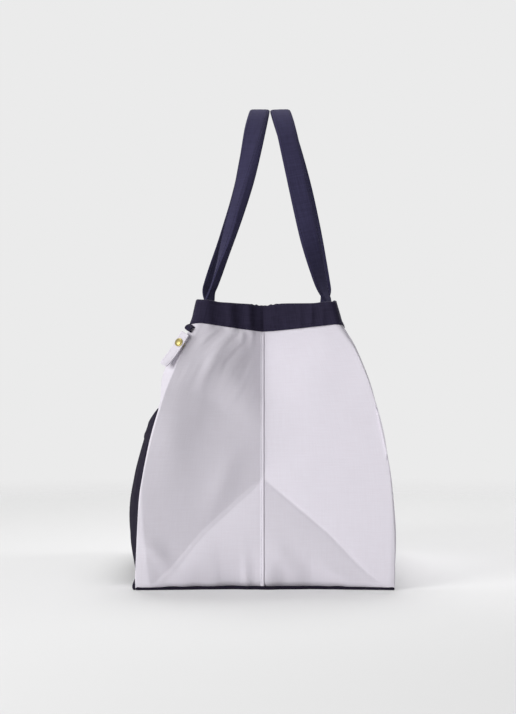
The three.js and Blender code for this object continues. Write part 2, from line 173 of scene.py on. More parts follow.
BACK = {
    "facing": 1, "depth": 0.1515, "lean": 0.061, "roundness": 2.95, "bulge": 0.010, "push": 0.0,
    "fold": 0.0004, "crease": -0.0006, "fold_reach": 0.96, "valley": 0.12,
    "rim": 0.3297, "slope": 0.0, "dip": 0.0020, "dip_width": 0.16, "corner_rise": 0.0021,
    "rim_lean": 0.0085, "lean_start": 0.300, "tape_foot": 0.3052,
    "ribs": [(0.0434, 0.0010), (0.0564, 0.0011), (0.0693, 0.0014)],
    "strap_in": 0.0072, "strap_bow": 1.0, "near_in": 0.0042, "far_out": 0.0080, "far_fade": (0.45, 1.0),
    "near_twists": [(0.0, 17), (0.067, 32), (0.11, 42), (0.152, 49), (0.19, 58), (0.226, 68), (0.31, 90)],
    "far_twists": [(0.0, 12), (0.11, 36), (0.22, 52), (0.33, 71), (0.45, 90)],
}

# Ridges that run down from the rim tape on a quarter of an end, by (facing, end): each starts at a
# distance from the side seam and swings away from it by a reach, over a scale of drop; then come its
# half width, its length and its height
RIDGES = {
    (-1, 1): [
        (0.0290, 0.050, 0.036, 0.0062, 0.075, 0.0018),
        (0.0567, 0.048, 0.050, 0.0070, 0.060, 0.0017),
        (0.0235, 0.006, 0.020, 0.0036, 0.014, 0.0014),
        (0.0125, 0.004, 0.020, 0.0030, 0.012, 0.0012),
    ],
    (-1, -1): [
        (0.0500, 0.040, 0.050, 0.0070, 0.060, 0.0010),
        (0.0180, 0.006, 0.020, 0.0036, 0.014, 0.0008),
    ],
    (1, -1): [
        (0.0610, 0.036, 0.050, 0.0070, 0.050, 0.0009),
        (0.0200, 0.006, 0.020, 0.0036, 0.012, 0.0007),
    ],
    (1, 1): [(0.0670, 0.020, 0.050, 0.0075, 0.040, 0.0004)],
}

# Quarters of an end that stand out as a soft pillow, steep towards the seam and gentle towards the
# corner, by (facing, end): the crest as points of drop below the tape and distance from the seam, the
# slope inside it, and the drop at which it ends at the seam and at the crest
PILLOWS = {
    (-1, 1): (
        [(0.0, 0.0130), (0.0154, 0.0330), (0.0384, 0.0565), (0.0614, 0.0680), (0.0768, 0.0770),
         (0.110, 0.1000)],
        0.135, 0.100, 0.066,
    ),
    (-1, -1): ([(0.0, 0.020), (0.020, 0.045), (0.050, 0.062), (0.100, 0.085)], 0.075, 0.085, 0.060),
    (1, -1): ([(0.0, 0.018), (0.024, 0.042), (0.055, 0.060), (0.100, 0.080)], 0.080, 0.090, 0.066),
}
PILLOW_SPREAD = 0.055
CREASES = 0.0007

# Long soft swells of the canvas of an end, by (facing, end): distance from the seam and height of the
# middle, the lean of the swell out of upright in degrees, its half length, half width and height
SEAM_SWELL = (0.0, 0.190, 0, 0.045, 0.035, 0.0028)
SWELLS = {
    (-1, 1): [
        SEAM_SWELL, (0.104, 0.180, -8, 0.042, 0.026, 0.0034), (0.049, 0.118, -24, 0.042, 0.013, 0.0015),
        (0.122, 0.040, 45, 0.022, 0.009, 0.0021), (0.085, 0.026, -45, 0.026, 0.020, 0.0020),
    ],
    (1, 1): [
        SEAM_SWELL, (0.086, 0.016, -62, 0.026, 0.009, 0.0018), (0.026, 0.032, -35, 0.024, 0.010, 0.0014),
        (0.058, 0.245, 10, 0.040, 0.026, 0.0012),
    ],
    (-1, -1): [
        SEAM_SWELL, (0.095, 0.190, -10, 0.050, 0.024, 0.0020), (0.050, 0.120, -24, 0.040, 0.014, 0.0010),
    ],
    (1, -1): [SEAM_SWELL, (0.100, 0.170, 12, 0.050, 0.024, 0.0018)],
}

# Upright flutes of the rim tape on a quarter of an end: distance from the seam, half width, height
FLUTES = {
    (-1, 1): [(0.0640, 0.0060, 0.0016), (0.0385, 0.0058, 0.0028), (0.0170, 0.0048, 0.0028)],
    (-1, -1): [(0.0300, 0.0060, 0.0010)],
    (1, -1): [(0.0420, 0.0060, 0.0010), (0.0190, 0.0050, 0.0008)],
    (1, 1): [(0.0110, 0.0060, 0.0010), (0.0560, 0.0032, 0.0010)],
}

# Drops about the rim tape's foot over which its flutes give way to the gathers
TAPE_EDGE = (-0.004, 0.006)

# Buckles at the foot of a side seam: how far up they reach, and by (facing, end) the distance from the
# seam, half width and height of each
PINCH_HEIGHT = 0.032
PINCHES = {
    (-1, 1): [(-0.006, 0.014, 0.0042), (0.0185, 0.0052, 0.0018), (0.054, 0.012, 0.0014)],
    (1, 1): [(0.006, 0.014, 0.0042), (0.036, 0.010, 0.0008)],
    (-1, -1): [(0.014, 0.0060, -0.0014)],
    (1, -1): [(0.020, 0.0070, 0.0014)],
}

# Folds under a handle's foot: distance from the middle of the face, half width, height; and their length
DRAGS = [(0.078, 0.010, 0.0018), (0.103, 0.012, 0.0022)]
DRAG_LENGTH = 0.095

# Slow unevenness of all the canvas: height, how often it comes, and where its noise is read
BILLOWS = [(0.0026, 9.0, Vector((0, 0, 0))), (0.0011, 23.0, Vector((7, 3, 1)))]

# The even place on the pushed-out corner where the snap tab lies
TAB_SEAT = Vector((0.2215, -0.0905, 0.2825))
TAB_SEAT_RADIUS = 0.022


def lerp(a, b, share):
    return a + (b - a) * share


def clamp(value, low=0.0, high=1.0):
    return max(low, min(high, value))


def smoothstep(value, low, high):
    share = clamp((value - low) / (high - low))
    return share * share * (3 - 2 * share)


def between(value, rise, fade):
    """1 in a stretch of values: it comes up over the two values of a rise and goes down over a fade."""
    return smoothstep(value, *rise) * (1 - smoothstep(value, *fade))


def smooth_greatest(a, b, width):
    """The greater of two values, rounded over a width where they cross."""
    share = clamp(0.5 + 0.5 * (a - b) / width)
    return lerp(b, a, share) + width * share * (1 - share)


def bell(value):
    return math.exp(-value ** 2)


def along_points(points, value):
    """The second figure of a list of pairs, read at a value of the first."""
    for (low, before), (high, after) in zip(points, points[1:]):
        if value <= high:
            return lerp(before, after, clamp((value - low) / (high - low)))
    return points[-1][1]


def corner_depth(wall, z, kink=0.10):
    """Depth of a wall at its corners: it rounds over up to the rim tape, which stands nearly upright."""
    rounding = clamp(z / LEAN_HEIGHT, 0, 2) ** wall["roundness"]
    rounding = -smooth_greatest(-rounding, -1, kink)
    over = clamp((z - wall["lean_start"]) / (RIM_HEIGHT - wall["lean_start"]))
    return wall["depth"] - wall["lean"] * rounding - wall["rim_lean"] * over


def corner_length(z):
    return BASE_LENGTH / 2 + END_LEAN * z / RIM_HEIGHT


def corner_setback(z):
    """Where a corner's rounding starts: a crisp edge below, rounder at the rim."""
    return lerp(BASE_CORNER, RIM_CORNER, smoothstep(z, CORNER_LOW, CORNER_HIGH))


def corner_push(wall, z):
    """How far a wall's corners are pushed out, under the rim tape where the snap tab sits."""
    high = smoothstep(z, PUSH_HIGH, LEAN_HEIGHT)
    return wall["push"] * smoothstep(z, PUSH_FOOT, PUSH_PEAK) * lerp(1, PUSH_AT_BINDING, high)


def face_start_length(wall, z):
    return corner_length(z) - corner_setback(z) - corner_push(wall, z)


def face_depth(wall, x, z):
    low_swell = lerp(BASE_BULGE, wall["bulge"], smoothstep(z, 0, BULGE_LOW))
    swell = lerp(low_swell, RIM_BULGE, smoothstep(z, BULGE_HIGH, RIM_HEIGHT))
    reach = x / corner_length(z)
    start = face_start_length(wall, z)
    push = corner_push(wall, z) * smoothstep(x, start - PUSH_FADE, start)
    return corner_depth(wall, z) + swell * (1 - reach * reach) ** 2 + push


def tuck_share(wall, from_fold, z):
    """Share of the tuck at a share of the way to the seam: rounded beside the seam, above the fold."""
    soft = wall["valley"] * smoothstep(z, FOLD_HEIGHT, FOLD_HEIGHT + VALLEY_RISE) + 1e-6
    return 1 - (math.hypot(1 - from_fold, soft) - soft) / (math.hypot(1, soft) - soft)


def end_length(wall, share, z):
    """Reach of an end along X: tucked in towards the seam above the fold, a slope out to the base below."""
    rise = clamp((z - SHELL_FOOT) / (FOLD_HEIGHT - SHELL_FOOT))
    from_fold = max(0.0, 1 - share / lerp(wall["fold_reach"], 1, rise))
    deepest = lerp(GUSSET_TUCK, RIM_TUCK, smoothstep(z, TUCK_EASE, RIM_HEIGHT))
    tucked = -deepest * tuck_share(wall, from_fold, z)
    slope = -SEAM_TUCK * from_fold - (GUSSET_TUCK - SEAM_TUCK) * rise
    slope -= FOOT_ROLL * min(1.0, FOOT_SPREAD * from_fold) * max(0.0, 1 - z / FOOT_HEIGHT) ** 2
    up_slope = clamp(rise / max(from_fold, 0.01))
    slope += RAMP_SWELL * from_fold * 4 * up_slope * (1 - up_slope)
    width = wall["fold"] * smoothstep(FOLD_HEIGHT - z, -0.002, 0.02) + 1e-6
    crease = wall["crease"] * bell((tucked - slope) / CREASE_WIDTH)
    crease *= smoothstep(from_fold, 0.02, 0.12) * smoothstep(FOLD_HEIGHT - z, 0.0, 0.012)
    return corner_length(z) + smooth_greatest(tucked, slope, width) + crease


def outline(wall, station, z):
    """A wall's outline over half its length: 0 at the side seam, 1 to 2 round the corner, 3 mid-face."""
    depth = corner_depth(wall, z)
    flat_share = 1 - corner_setback(z) / depth
    face_start = face_start_length(wall, z)
    if station <= 1:
        share = station * flat_share
        return end_length(wall, share, z), share * depth
    if station <= 2:
        turn = station - 1
        ends = [
            (end_length(wall, flat_share, z), flat_share * depth),
            (end_length(wall, 1, z), depth),
            (face_start, face_depth(wall, face_start, z)),
        ]
        weights = [(1 - turn) ** 2, 2 * turn * (1 - turn), turn ** 2]
        return tuple(sum(w * end[axis] for w, end in zip(weights, ends)) for axis in (0, 1))
    x = lerp(face_start, 0, station - 2)
    return x, face_depth(wall, x, z)


def outline_normal(wall, station, z):
    """The direction out of a wall's outline, turning to X at the seam, where the two panels meet."""
    step = 0.01
    x0, y0 = outline(wall, max(station - step, 0), z)
    x1, y1 = outline(wall, min(station + step, 3), z)
    normal = Vector((y1 - y0, x0 - x1)).normalized()
    return normal.lerp(Vector((1, 0)), 1 - smoothstep(station, 0, 0.06)).normalized()


def level_normal(wall, station, end, z):
    """The level direction out of a wall, as it lies on one end of the bag."""
    normal = outline_normal(wall, station, z)
    return Vector((normal.x * end, normal.y * wall["facing"], 0))


def rim_height(wall, station):
    """Height of the rim: level along a face, lower along an end and lowest at the side seam."""
    along = min(station, 1)
    low = wall["rim"] - wall["slope"] * (1 - along) - wall["dip"] * bell(along / wall["dip_width"])
    low += wall["corner_rise"] * smoothstep(along, *CORNER_CLIMB)
    return lerp(low, RIM_HEIGHT, smoothstep(station, *LEVELLING))


def tape_foot(wall, station):
    """Height of the rim tape's lower edge: lowest at the side seam, highest at the corner."""
    along = min(station, 1)
    low = lerp(TAPE_SEAM_FOOT, wall["tape_foot"], math.hypot(along, TAPE_TURN) - TAPE_TURN * (1 - along))
    return lerp(low, RIM_HEIGHT - BINDING_HEIGHT, smoothstep(station, *LEVELLING))


def gather(wall, end, y, drop):
    """Height of the gathers at a distance y from the seam and a drop below the rim tape."""
    total = 0
    below = max(drop, 0)
    under_tape = smoothstep(drop, *TAPE_EDGE)
    quarter = wall["facing"], end
    for start, reach, scale, width, length, height in RIDGES[quarter]:
        across = (y - start - reach * (1 - math.exp(-below / scale))) / (width * (1 + 6 * below))
        fade = under_tape * bell(drop / length)
        total += height * fade * bell(across)
    if quarter in PILLOWS:
        crest_points, slope, seam_end, crest_end = PILLOWS[quarter]
        crest = along_points(crest_points, below)
        inside = y / crest
        outside = max(0.0, 1 - (y - crest) / PILLOW_SPREAD)
        lower = lerp(seam_end, crest_end, smoothstep(inside, 0, 1))
        fade = between(drop, (-0.030, 0.006), (lower - 0.030, lower + 0.016))
        total -= slope * crest * fade * smooth_greatest(-inside, -outside, 0.12)
        lean = noise.noise(Vector((150 * (y - crest * 0.9), 16 * drop, wall["facing"] + 2 * end)))
        total += CREASES * lean * fade * smoothstep(y, 0.006, 0.03)
    for start, width, height in FLUTES[quarter]:
        total += height * (1 - under_tape) * bell((y - start) / width)
    return total


def swell(wall, end, y, z):
    """Height of the long soft swells at a distance y from the seam and a height z."""
    total = 0
    for middle, level, lean, length, width, height in SWELLS[wall["facing"], end]:
        turn = math.radians(lean)
        along = (z - level) * math.cos(turn) + (y - middle) * math.sin(turn)
        across = (y - middle) * math.cos(turn) - (z - level) * math.sin(turn)
        total += height * bell(along / length) * bell(across / width)
    return total


def pinch(wall, end, y, z):
    """Buckles of the cloth where the side seam meets the base."""
    total = 0
    for start, width, height in PINCHES[wall["facing"], end]:
        across = (y - start * (1 + 3 * z)) / width
        total += height * bell(across) * bell(z / PINCH_HEIGHT)
    return total


def drag(x, drop):
    """Soft upright folds under each handle's foot, where the straps pull the face up."""
    total = 0
    for place, width, height in DRAGS:
        across = (abs(x) - place - 0.10 * drop) / (width * (1 + 4 * max(drop, 0)))
        total += height * bell(across)
    return total * smoothstep(drop, -0.002, 0.030) * bell(drop / DRAG_LENGTH)


def sway(wall, station, end, x, y, z):
    """How far the soft cloth stands out of its even shape."""
    spot = Vector((x * end, y * wall["facing"], z))
    calm_rim = 1 - 0.8 * smoothstep(z, 0.285, 0.315)
    billow = sum(height * noise.noise(spot * often + start) for height, often, start in BILLOWS)
    billow *= smoothstep(z, 0, 0.05) * calm_rim * lerp(0.55, 1.0, smoothstep(station, 1.0, 2.4))
    drop = tape_foot(wall, station) - z
    on_end = 1 - smoothstep(station, 0.85, 1.35)
    on_face = smoothstep(station, 1.9, 2.2)
    on_canvas = gather(wall, end, y, drop) + pinch(wall, end, y, z) + swell(wall, end, y, z)
    folds = on_end * on_canvas + on_face * drag(x, drop)
    by_tab = bell((spot - TAB_SEAT).length / TAB_SEAT_RADIUS)
    return (billow + folds) * (1 - by_tab)


def wall_point(wall, station, end, z, offset, softness=1.0):
    """A point of a wall at a station of one end, moved out of the soft cloth by an offset."""
    x, y = outline(wall, station, z)
    normal = outline_normal(wall, station, z)
    out = offset + softness * sway(wall, station, end, x, y, z)
    return Vector(((x + normal.x * out) * end, (y + normal.y * out) * wall["facing"], z))


def face_place(wall, x, z):
    """The station and end of a point of a face at a distance x from the middle."""
    return 3 - abs(x) / face_start_length(wall, z), (-1 if x < 0 else 1)


def wall_columns(wall, end_steps, corner_steps, face_steps):
    """Stations from one side seam round the face to the other, so that faces made on them point out."""
    half = [i / end_steps for i in range(end_steps)]
    half += [1 + i / corner_steps for i in range(corner_steps)]
    half += [2 + i / face_steps for i in range(face_steps)]
    first = wall["facing"]
    return [(s, first) for s in half] + [(3, first)] + [(s, -first) for s in reversed(half)]


# Modelling helpers


def start_piece():
    if bpy.context.object and bpy.context.object.mode != "OBJECT":
        bpy.ops.object.mode_set(mode="OBJECT")
    bpy.ops.object.select_all(action="DESELECT")


def take(piece):
    """Makes a piece the only one in hand."""
    start_piece()
    piece.select_set(True)
    bpy.context.view_layer.objects.active = piece


def name_piece(name):
    """Names the piece that was just added, and its mesh."""
    piece = bpy.context.object
    piece.name = name
    piece.data.name = name
    return piece


def edit_all(*steps):
    """Runs tools of mesh editing, each with its settings, on all of the piece in hand."""
    bpy.ops.object.mode_set(mode="EDIT")
    for tool, settings in steps:
        bpy.ops.mesh.select_all(action="SELECT")
        tool(**settings)
    bpy.ops.object.mode_set(mode="OBJECT")


WELD = bpy.ops.mesh.remove_doubles, {"threshold": 1e-6}
FACE_OUT = bpy.ops.mesh.normals_make_consistent, {"inside": False}


def run_lengths(points):
    """The distance of each point of a line from its start."""
    lengths = [0.0]
    for a, b in zip(points, points[1:]):
        lengths.append(lengths[-1] + (b - a).length)
    return lengths


def cloth_grid(name, columns, rows, place):
    """A flat grid laid over the points that place(column, row) gives, with its UV map in real metres."""
    start_piece()
    bpy.ops.mesh.primitive_grid_add(x_subdivisions=columns - 1, y_subdivisions=rows - 1, size=1)
    piece = name_piece(name)
    mesh = piece.data
    for index, vertex in enumerate(mesh.vertices):
        vertex.co = place(index % columns, index // columns)
    points = [vertex.co.copy() for vertex in mesh.vertices]
    first = rows // 2 * columns
    across = run_lengths(points[first:first + columns])
    along = run_lengths(points[columns // 2::columns])
    layer = mesh.uv_layers.active.data
    for loop in mesh.loops:
        column, row = loop.vertex_index % columns, loop.vertex_index // columns
        layer[loop.index].uv = (across[column], along[row])
    mesh.update()
    return piece


def apply_modifier(piece, kind, **settings):
    """Adds a modifier with its settings and applies it."""
    modifier = piece.modifiers.new(kind.lower(), kind)
    for name, value in settings.items():
        setattr(modifier, name, value)
    take(piece)
    bpy.ops.object.modifier_apply(modifier=modifier.name)


def round_edges(piece, width, segments, angle):
    """Rounds the edges of a piece that turn by more than an angle."""
    limit = math.radians(angle)
    apply_modifier(piece, "BEVEL", width=width, segments=segments, limit_method="ANGLE", angle_limit=limit)


def smooth(piece, angle):
    """Shades a piece smooth, except at edges sharper than an angle."""
    take(piece)
    bpy.ops.object.shade_smooth_by_angle(angle=math.radians(angle))


def flat_uv(piece):
    """A UV map that is the plan view in metres."""
    mesh = piece.data
    layer = mesh.uv_layers.active or mesh.uv_layers.new(name="UVMap")
    for loop in mesh.loops:
        point = mesh.vertices[loop.vertex_index].co
        layer.data[loop.index].uv = (point.x, point.y + point.z)


def cloth_sheet(name, columns, rows, place, thickness, even=True, edge=0, relax=0, matrix=None, angle=50):
    """Cloth laid on a grid: relaxed, thickened inwards, its rim rounded by an edge, moved by a matrix."""
    piece = cloth_grid(name, columns, rows, place)
    if relax:
        apply_modifier(piece, "SMOOTH", factor=0.5, iterations=relax)
    apply_modifier(piece, "SOLIDIFY", thickness=thickness, offset=-1.0, use_even_offset=even)
    if edge:
        round_edges(piece, edge, 2, 50)
    if matrix is not None:
        piece.data.transform(matrix)
        piece.data.update()
    smooth(piece, angle)
    return piece


SPIN = {"steps": 40, "angle": 2 * math.pi, "center": (0, 0, 0), "axis": (0, 0, 1)}


def spun(name, profile, matrix):
    """A turned piece: (radius, height) points spun all the way round local Z, then moved by a matrix."""
    start_piece()
    bpy.ops.mesh.primitive_plane_add(size=1)
    piece = name_piece(name)
    edit_all((bpy.ops.mesh.delete, {"type": "VERT"}))
    mesh = piece.data
    mesh.vertices.add(len(profile))
    mesh.edges.add(len(profile) - 1)
    for vertex, (radius, height) in zip(mesh.vertices, profile):
        vertex.co = (radius, 0, height)
    for index, edge in enumerate(mesh.edges):
        edge.vertices = (index, index + 1)
    mesh.update()
    edit_all((bpy.ops.mesh.spin, SPIN), WELD, FACE_OUT)
    smooth(piece, 40)
    piece.data.transform(matrix)
    piece.data.update()
    return piece


def stitch_shape():
    """One stitch: a spindle of thread of unit length along X, lying on the cloth."""
    points = [(-0.5, 0, 0)]
    for x in (-0.28, 0.28):
        points += [(x, 0.5, 0), (x, 0, 0.62), (x, -0.5, 0), (x, 0, -0.5)]
    points.append((0.5, 0, 0))
    faces = []
    for i in range(4):
        j = (i + 1) % 4
        faces += [(0, 1 + j, 1 + i), (1 + i, 1 + j, 5 + j, 5 + i), (9, 5 + i, 5 + j)]
    return [Vector(point) for point in points], faces


def sew(name, runs, pitch=STITCH_PITCH, length=STITCH_LENGTH, radius=STITCH_RADIUS):
    """Rows of stitches as one mesh: each run is a list of (point, normal) down a line of sewing."""
    shape, shape_faces = stitch_shape()
    vertices = []
    faces = []
    for run in runs:
        left = pitch / 2
        for (a, normal), (b, _) in zip(run, run[1:]):
            step = (b - a).length
            if step < 1e-7:
                continue
            tangent = (b - a) / step
            side = normal.cross(tangent).normalized()
            up = tangent.cross(side)
            while left <= step:
                middle = a + tangent * left + up * radius * 0.25
                base = len(vertices)
                for point in shape:
                    spot = middle + tangent * point.x * length
                    vertices.append(spot + side * point.y * 2 * radius + up * point.z * 2 * radius)
                faces += [tuple(base + index for index in face) for face in shape_faces]
                left += pitch
            left -= step
    mesh = bpy.data.meshes.new(name)
    mesh.from_pydata(vertices, [], faces)
    mesh.update()
    piece = bpy.data.objects.new(name, mesh)
    bpy.context.scene.collection.objects.link(piece)
    smooth(piece, 60)
    return piece


# Pieces of the shell

# Columns of a panel, its tape and the base: steps along an end, round a corner and along half a face
PANEL_STEPS = (100, 12, 36)
TAPE_STEPS = (56, 14, 60)
BASE_STEPS = (30, 2, 20)
# Rows of a panel, of which the closer ones lie below a height
PANEL_ROWS = 150
LOW_ROWS = 88
LOW_HEIGHT = 0.132
# A panel's foot: how uneven it is, how far it rolls in on a wall and at a corner, and how high up
FOOT_WAVE = 0.0022
WALL_ROLL = 0.0022
CORNER_ROLL = 0.0006
ROLL_HEIGHT = 0.006


def panel_cloth(name, wall):
    """One panel of canvas: half of the shell, its foot rolled in over the base."""
    columns = wall_columns(wall, *PANEL_STEPS)

    def place(column, row):
        station, end = columns[column]
        wave = FOOT_WAVE * noise.noise(Vector((station * 6.3, end * 2.0, wall["facing"])))
        foot = SHELL_FOOT - 0.0002 + wave
        top = rim_height(wall, station) - BINDING_CLOTH - CLEARANCE
        if row < LOW_ROWS:
            z = lerp(foot, LOW_HEIGHT, row / LOW_ROWS)
        else:
            z = lerp(LOW_HEIGHT, top, (row - LOW_ROWS) / (PANEL_ROWS - 1 - LOW_ROWS))
        at_corner = between(station, (0.9, 1.0), (2.0, 2.06))
        roll = lerp(WALL_ROLL, CORNER_ROLL, at_corner) * max(0.0, 1 - (z - foot) / ROLL_HEIGHT) ** 2
        return wall_point(wall, station, end, z, -roll)

    return cloth_sheet(name, len(columns), PANEL_ROWS, place, CLOTH, even=False, angle=60)


def base_cloth():
    """The navy bottom: a board covered with canvas that follows the panels' feet, with soft edges."""
    points = []
    for wall in (FRONT, BACK):
        for station, end in wall_columns(wall, *BASE_STEPS)[:-1]:
            beyond = lerp(BASE_BEYOND, -0.0006, smoothstep(station, 0, 1))
            points.append(wall_point(wall, station, end, SHELL_FOOT, beyond))
    start_piece()
    bpy.ops.mesh.primitive_circle_add(vertices=len(points), radius=0.1, fill_type="NGON")
    piece = name_piece("base_cloth")
    for vertex, point in zip(piece.data.vertices, points):
        vertex.co = (point.x, point.y, 0.0001)
    upward = {"TRANSFORM_OT_translate": {"value": (0, 0, BASE_THICKNESS)}}
    edit_all(FACE_OUT, (bpy.ops.mesh.extrude_region_move, upward), FACE_OUT)
    round_edges(piece, 0.0009, 3, 60)
    flat_uv(piece)
    smooth(piece, 40)
    return piece


# The tuck of base cloth at a front corner: its middle, its half sizes, and how far its top
# leans in and narrows
TUCK_MIDDLE = (0.2196, -0.1466, 0.0080)
TUCK_HALF = (0.0030, 0.0033, 0.0080)
TUCK_LEAN = 0.0016
TUCK_TAPER = 0.35


def base_tuck(name, end):
    """A small tuck of the navy base cloth that stands out beside a front corner."""
    start_piece()
    bpy.ops.mesh.primitive_uv_sphere_add(segments=24, ring_count=16, radius=1)
    piece = name_piece(name)
    for vertex in piece.data.vertices:
        across, out, up = vertex.co
        vertex.co = (
            end * (TUCK_MIDDLE[0] + TUCK_HALF[0] * across),
            TUCK_MIDDLE[1] - TUCK_HALF[1] * out * (1 - TUCK_TAPER * up) + TUCK_LEAN * up,
            TUCK_MIDDLE[2] + TUCK_HALF[2] * up,
        )
    edit_all(FACE_OUT)
    flat_uv(piece)
    smooth(piece, 60)
    return piece


# Unevenness of the rim tape: broad and fine ripples, the half width of its ribs, and its folded edge
BROAD_RIPPLE = 0.0011
FINE_RIPPLE = 0.0012
RIB_WIDTH = 0.0022
EDGE_WAVE = 0.0006


def tape_ripple(wall, station, end, z):
    """Soft flutes of the rim tape: they only stand out, so that the tape clears the panel."""
    x, y = outline(wall, station, z)
    spot = Vector((x * end * 46, y * wall["facing"] * 46, z * 9))
    broad = 0.5 + 0.5 * noise.noise(spot)
    fine = max(0.0, noise.noise(spot * 2.7 + Vector((3, 9, 4))))
    at_corner = between(station, (0.6, 0.95), (1.8, 2.2))
    ribs = sum(height * bell((y - middle) / RIB_WIDTH) for middle, height in wall["ribs"])
    return (BROAD_RIPPLE * broad + FINE_RIPPLE * fine * fine) * (1 - 0.85 * at_corner) + ribs


def tape_point(wall, station, end, z, offset, share=0):
    """A point of the tape's outside or inside, which is calmer, at a share of its height."""
    ripple = tape_ripple(wall, station, end, z) * (1 - share ** 3) * smoothstep(station, 0, 0.05)
    return wall_point(wall, station, end, z, offset + (ripple if offset > 0 else -0.3 * ripple))


def rim_lift(wall, station, end):
    """The tape's folded edge isn't quite even, and it puckers beside the side seam."""
    x, y = outline(wall, station, RIM_HEIGHT)
    spot = Vector((x * end * 30, y * wall["facing"] * 30, 2.0))
    pucker = bell((station - 0.12) / 0.10) * math.sin(station * 70)
    return EDGE_WAVE * (noise.noise(spot) + pucker)


def rim_tape(name, wall):
    """Navy tape folded over the rim of one panel: down the outside, over the edge, down the inside."""
    columns = wall_columns(wall, *TAPE_STEPS)
    side_steps = 12
    arch_steps = 8
    radius = (BINDING_OUT - BINDING_IN) / 2
    middle = (BINDING_OUT + BINDING_IN) / 2
    profile = [(BINDING_OUT, i / side_steps) for i in range(side_steps)]
    profile += [(None, math.pi * i / arch_steps) for i in range(arch_steps + 1)]
    profile += [(BINDING_IN, 1 - i / side_steps) for i in range(1, side_steps + 1)]

    def place(column, row):
        station, end = columns[column]
        offset, share = profile[row]
        top = rim_height(wall, station) + rim_lift(wall, station, end) - radius
        if offset is None:
            arch = wall_point(wall, station, end, top, middle + radius * math.cos(share))
            return arch + Vector((0, 0, radius * math.sin(share)))
        return tape_point(wall, station, end, lerp(tape_foot(wall, station), top, share), offset, share)

    return cloth_sheet(name, len(columns), len(profile), place, BINDING_CLOTH, angle=60)


def tape_stitches(name, wall):
    """Two rows of stitching along the foot of the rim tape, outside and inside."""
    runs = []
    for offset in (BINDING_OUT, BINDING_IN):
        run = []
        for station, end in wall_columns(wall, *TAPE_STEPS):
            z = tape_foot(wall, station) + TAPE_MARGIN
            out = level_normal(wall, station, end, z) * math.copysign(1, offset)
            run.append((tape_point(wall, station, end, z, offset), out))
        runs.append(run)
    return sew(name, runs)


# Across a side seam: distance from the middle towards the back, and height above the panels. The
# felled lip lies over towards the front and ends in a sharp step at the back.
SEAM_PROFILE = [
    (-0.0034, -0.0006), (-0.0030, 0.0001), (-0.0022, 0.0003), (-0.0014, 0.0005), (-0.0007, 0.0010),
    (0.0001, 0.0013), (0.0007, 0.0011), (0.0012, 0.0006), (0.0017, 0.0001), (0.0021, -0.0006),
]


def seam_point(end, y, height, z):
    """A point at a distance y from a seam's line and a height out of the panels."""
    wall = BACK if y > 0 else FRONT
    station = abs(y) / (corner_depth(wall, z) - corner_setback(z))
    spot = wall_point(wall, station, end, z, 0)
    return Vector((spot.x + end * height, y, z))


def side_seam(name, end):
    """The felled seam up the middle of an end: a lip of doubled canvas that sinks under the rim tape."""
    rows = 140
    profile = SEAM_PROFILE if end > 0 else [(-y, height) for y, height in SEAM_PROFILE]

    def place(column, row):
        y, height = profile[column]
        z = lerp(SHELL_FOOT, TAPE_SEAM_FOOT + 0.004, row / (rows - 1))
        if height > 0:
            height = lerp(height, 0.0, smoothstep(z, TAPE_SEAM_FOOT - 0.003, TAPE_SEAM_FOOT))
        uneven = 0.0003 * noise.noise(Vector((end, y * 50, z * 60)))
        return seam_point(end, y, height + uneven, z)

    return cloth_sheet(name, len(profile), rows, place, SEAM_CLOTH)


def seam_stitches(name, end):
    """One row of stitching up a seam's lip."""
    steps = 89
    run = []
    for i in range(steps + 1):
        z = lerp(SHELL_FOOT + 0.003, TAPE_SEAM_FOOT - 0.001, i / steps)
        run.append((seam_point(end, -0.0022 * end, 0.0004, z), Vector((end, 0, 0))))
    return sew(name, [run])


def pocket_mouth(across):
    return POCKET_CORNER_HEIGHT - POCKET_SAG * (1 - across * across)


def pocket_point(across, up):
    """A point of the patch pocket: sewn down at its sides and foot, slack between, the mouth sagging."""
    mouth = pocket_mouth(across)
    z = lerp(POCKET_FOOT, mouth, up)
    fullness = POCKET_FULLNESS * math.sin(math.pi * up ** 0.8) + POCKET_MOUTH * up * up
    station, end = face_place(FRONT, across * POCKET_WIDTH / 2, z)
    spot = Vector((across * 2.6, up * 1.5, 5.0))
    slack = POCKET_SLACK * noise.noise(spot * 1.4) + POCKET_FINE_SLACK * noise.noise(spot * 3.7)
    held = 1 - across ** 4
    below_mouth = (1 - up) * (mouth - POCKET_FOOT)
    hem = HEM_STEP * (1 - smoothstep(below_mouth, POCKET_HEM - 0.001, POCKET_HEM + 0.001))
    out = CLEARANCE + (fullness + slack * math.sin(math.pi * min(1, up * 1.1))) * held + hem + POCKET_CLOTH
    return wall_point(FRONT, station, end, z, out, softness=0.5 + 0.5 * (1 - held))


def pocket_cloth():
    columns, rows = 150, 110

    def place(column, row):
        return pocket_point(-1 + 2 * column / (columns - 1), row / (rows - 1))

    return cloth_sheet("pocket_cloth", columns, rows, place, POCKET_CLOTH, edge=0.0003)


def pocket_stitches():
    """Rows of stitching round the pocket's three sewn sides and along its hem."""
    margin = 2 * POCKET_MARGIN / POCKET_WIDTH
    foot = POCKET_MARGIN / (POCKET_CORNER_HEIGHT - POCKET_FOOT)
    level = [-1 + margin + (2 - 2 * margin) * i / 90 for i in range(91)]
    routes = [[(side * (1 - margin), i / 60) for i in range(61)] for side in (-1, 1)]
    routes.append([(across, foot) for across in level])
    for below in (0.0025, POCKET_HEM - 0.002):
        routes.append([(across, 1 - below / (pocket_mouth(across) - POCKET_FOOT)) for across in level])
    out = Vector((0, -1, 0))
    runs = [[(pocket_point(across, up), out) for across, up in route] for route in routes]
    return sew("pocket_stitches", runs)


# Handles

TAIL_STEPS = 15
ARCH_STEPS = 90

